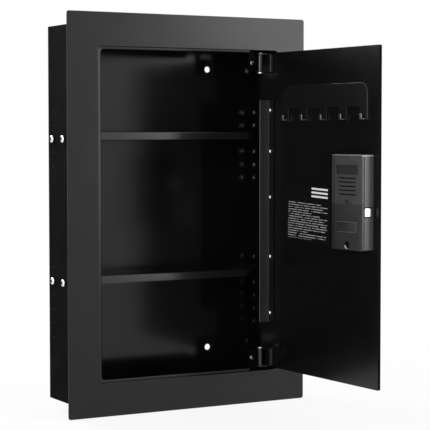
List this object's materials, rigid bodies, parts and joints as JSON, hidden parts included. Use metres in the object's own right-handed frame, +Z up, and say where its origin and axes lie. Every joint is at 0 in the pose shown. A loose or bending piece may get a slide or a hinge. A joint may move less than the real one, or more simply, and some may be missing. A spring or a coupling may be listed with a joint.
{
  "type": "wall safe",
  "caption": "Shallow wall safe for a stud bay with trim frame, shelves, hinged door, key rack and keypad lock with battery case; door open.",
  "frame": {"origin": "centre of the casing's back face", "axes": "+Z up; +Y into the wall, so the front faces -Y; +X to the right as the front is seen"},
  "size_m": [0.38, 0.3532, 0.56],
  "materials": {
    "left_side_panel": "semi-gloss powder coat",
    "right_side_panel": "semi-gloss powder coat",
    "top_panel": "semi-gloss powder coat",
    "bottom_panel": "semi-gloss powder coat",
    "back_panel": "semi-gloss powder coat",
    "trim_frame": "semi-gloss powder coat",
    "door_stop_frame": "semi-gloss powder coat",
    "upper_shelf": "semi-gloss powder coat",
    "lower_shelf": "semi-gloss powder coat",
    "upper_shelf_screw_left_front": "polished",
    "upper_shelf_screw_left_back": "polished",
    "upper_shelf_screw_right_front": "polished",
    "upper_shelf_screw_right_back": "polished",
    "lower_shelf_screw_left_front": "polished",
    "lower_shelf_screw_left_back": "polished",
    "lower_shelf_screw_right_front": "polished",
    "lower_shelf_screw_right_back": "polished",
    "upper_hinge_bracket": "semi-gloss powder coat",
    "upper_hinge_screw": "polished",
    "upper_hinge_pin": "zinc plated",
    "lower_hinge_bracket": "semi-gloss powder coat",
    "lower_hinge_screw": "polished",
    "lower_hinge_pin": "zinc plated",
    "door_panel": "semi-gloss powder coat",
    "upper_hinge_leaf": "semi-gloss powder coat",
    "lower_hinge_leaf": "semi-gloss powder coat",
    "anti_pry_bar": "semi-gloss powder coat",
    "bar_screw_1": "polished",
    "bar_screw_2": "polished",
    "bar_screw_3": "polished",
    "bar_screw_4": "polished",
    "bar_screw_5": "polished",
    "key_rack": "semi-gloss powder coat",
    "plain_label": "smooth film",
    "lock_case": "fine grained",
    "lock_case_screw": "polished",
    "lock_motor": "zinc plated",
    "circuit_board": "solder mask",
    "battery_1": "printed sleeve, left plain",
    "battery_2": "printed sleeve, left plain",
    "battery_3": "printed sleeve, left plain",
    "battery_4": "printed sleeve, left plain",
    "keypad_housing": "fine grained",
    "battery_cover": "fine grained",
    "latch_bolt": "polished",
    "key_cylinder": "polished",
    "button_1": "matte",
    "button_2": "matte",
    "button_3": "matte",
    "button_4": "matte",
    "button_5": "matte",
    "button_6": "matte",
    "button_7": "matte",
    "button_8": "matte",
    "button_9": "matte",
    "button_clear": "matte",
    "button_0": "matte",
    "button_enter": "matte"
  },
  "bodies": {
    "casing": {"left_side_panel": "left_side_panel", "right_side_panel": "right_side_panel", "top_panel": "top_panel", "bottom_panel": "bottom_panel", "back_panel": "back_panel", "trim_frame": "trim_frame", "door_stop_frame": "door_stop_frame", "upper_shelf": "upper_shelf", "lower_shelf": "lower_shelf", "upper_shelf_screw_left_front": "upper_shelf_screw_left_front", "upper_shelf_screw_left_back": "upper_shelf_screw_left_back", "upper_shelf_screw_right_front": "upper_shelf_screw_right_front", "upper_shelf_screw_right_back": "upper_shelf_screw_right_back", "lower_shelf_screw_left_front": "lower_shelf_screw_left_front", "lower_shelf_screw_left_back": "lower_shelf_screw_left_back", "lower_shelf_screw_right_front": "lower_shelf_screw_right_front", "lower_shelf_screw_right_back": "lower_shelf_screw_right_back", "upper_hinge_bracket": "upper_hinge_bracket", "upper_hinge_screw": "upper_hinge_screw", "upper_hinge_pin": "upper_hinge_pin", "lower_hinge_bracket": "lower_hinge_bracket", "lower_hinge_screw": "lower_hinge_screw", "lower_hinge_pin": "lower_hinge_pin"},
    "door": {"door_panel": "door_panel", "upper_hinge_leaf": "upper_hinge_leaf", "lower_hinge_leaf": "lower_hinge_leaf", "anti_pry_bar": "anti_pry_bar", "bar_screw_1": "bar_screw_1", "bar_screw_2": "bar_screw_2", "bar_screw_3": "bar_screw_3", "bar_screw_4": "bar_screw_4", "bar_screw_5": "bar_screw_5", "key_rack": "key_rack", "plain_label": "plain_label", "lock_case": "lock_case", "lock_case_screw": "lock_case_screw", "lock_motor": "lock_motor", "circuit_board": "circuit_board", "battery_1": "battery_1", "battery_2": "battery_2", "battery_3": "battery_3", "battery_4": "battery_4", "keypad_housing": "keypad_housing"},
    "battery_cover": {"battery_cover": "battery_cover"},
    "latch_bolt": {"latch_bolt": "latch_bolt"},
    "key_cylinder": {"key_cylinder": "key_cylinder"},
    "button_1": {"button_1": "button_1"},
    "button_2": {"button_2": "button_2"},
    "button_3": {"button_3": "button_3"},
    "button_4": {"button_4": "button_4"},
    "button_5": {"button_5": "button_5"},
    "button_6": {"button_6": "button_6"},
    "button_7": {"button_7": "button_7"},
    "button_8": {"button_8": "button_8"},
    "button_9": {"button_9": "button_9"},
    "button_clear": {"button_clear": "button_clear"},
    "button_0": {"button_0": "button_0"},
    "button_enter": {"button_enter": "button_enter"}
  },
  "joints": [
    {"name": "door_hinge", "type": "hinge", "parent": "casing", "child": "door", "pos_m": [0.125, -0.086, 0], "axis": [0, 0, 1], "range_deg": [-92.5, 6]},
    {"name": "battery_cover_slide", "type": "slide", "parent": "door", "child": "battery_cover", "axis": [0, 0, 1], "range_m": [0, 0.015]},
    {"name": "latch_bolt_slide", "type": "slide", "parent": "door", "child": "latch_bolt", "axis": [0.0436, -0.999, 0], "range_m": [0, 0.016]},
    {"name": "key_turn", "type": "hinge", "parent": "door", "child": "key_cylinder", "pos_m": [0.13468, -0.30764, -0.014], "axis": [0.999, 0.0436, 0], "range_deg": [0, 90]},
    {"name": "button_1_press", "type": "slide", "parent": "door", "child": "button_1", "axis": [-0.999, -0.0436, 0], "range_m": [0, 0.001], "stiffness_N_per_m": 400},
    {"name": "button_2_press", "type": "slide", "parent": "door", "child": "button_2", "axis": [-0.999, -0.0436, 0], "range_m": [0, 0.001], "stiffness_N_per_m": 400},
    {"name": "button_3_press", "type": "slide", "parent": "door", "child": "button_3", "axis": [-0.999, -0.0436, 0], "range_m": [0, 0.001], "stiffness_N_per_m": 400},
    {"name": "button_4_press", "type": "slide", "parent": "door", "child": "button_4", "axis": [-0.999, -0.0436, 0], "range_m": [0, 0.001], "stiffness_N_per_m": 400},
    {"name": "button_5_press", "type": "slide", "parent": "door", "child": "button_5", "axis": [-0.999, -0.0436, 0], "range_m": [0, 0.001], "stiffness_N_per_m": 400},
    {"name": "button_6_press", "type": "slide", "parent": "door", "child": "button_6", "axis": [-0.999, -0.0436, 0], "range_m": [0, 0.001], "stiffness_N_per_m": 400},
    {"name": "button_7_press", "type": "slide", "parent": "door", "child": "button_7", "axis": [-0.999, -0.0436, 0], "range_m": [0, 0.001], "stiffness_N_per_m": 400},
    {"name": "button_8_press", "type": "slide", "parent": "door", "child": "button_8", "axis": [-0.999, -0.0436, 0], "range_m": [0, 0.001], "stiffness_N_per_m": 400},
    {"name": "button_9_press", "type": "slide", "parent": "door", "child": "button_9", "axis": [-0.999, -0.0436, 0], "range_m": [0, 0.001], "stiffness_N_per_m": 400},
    {"name": "button_clear_press", "type": "slide", "parent": "door", "child": "button_clear", "axis": [-0.999, -0.0436, 0], "range_m": [0, 0.001], "stiffness_N_per_m": 400},
    {"name": "button_0_press", "type": "slide", "parent": "door", "child": "button_0", "axis": [-0.999, -0.0436, 0], "range_m": [0, 0.001], "stiffness_N_per_m": 400},
    {"name": "button_enter_press", "type": "slide", "parent": "door", "child": "button_enter", "axis": [-0.999, -0.0436, 0], "range_m": [0, 0.001], "stiffness_N_per_m": 400}
  ],
  "couplings": [
    {"joint": "key_turn", "follows": "latch_bolt_slide", "rad_per_m": 98.17}
  ]
}
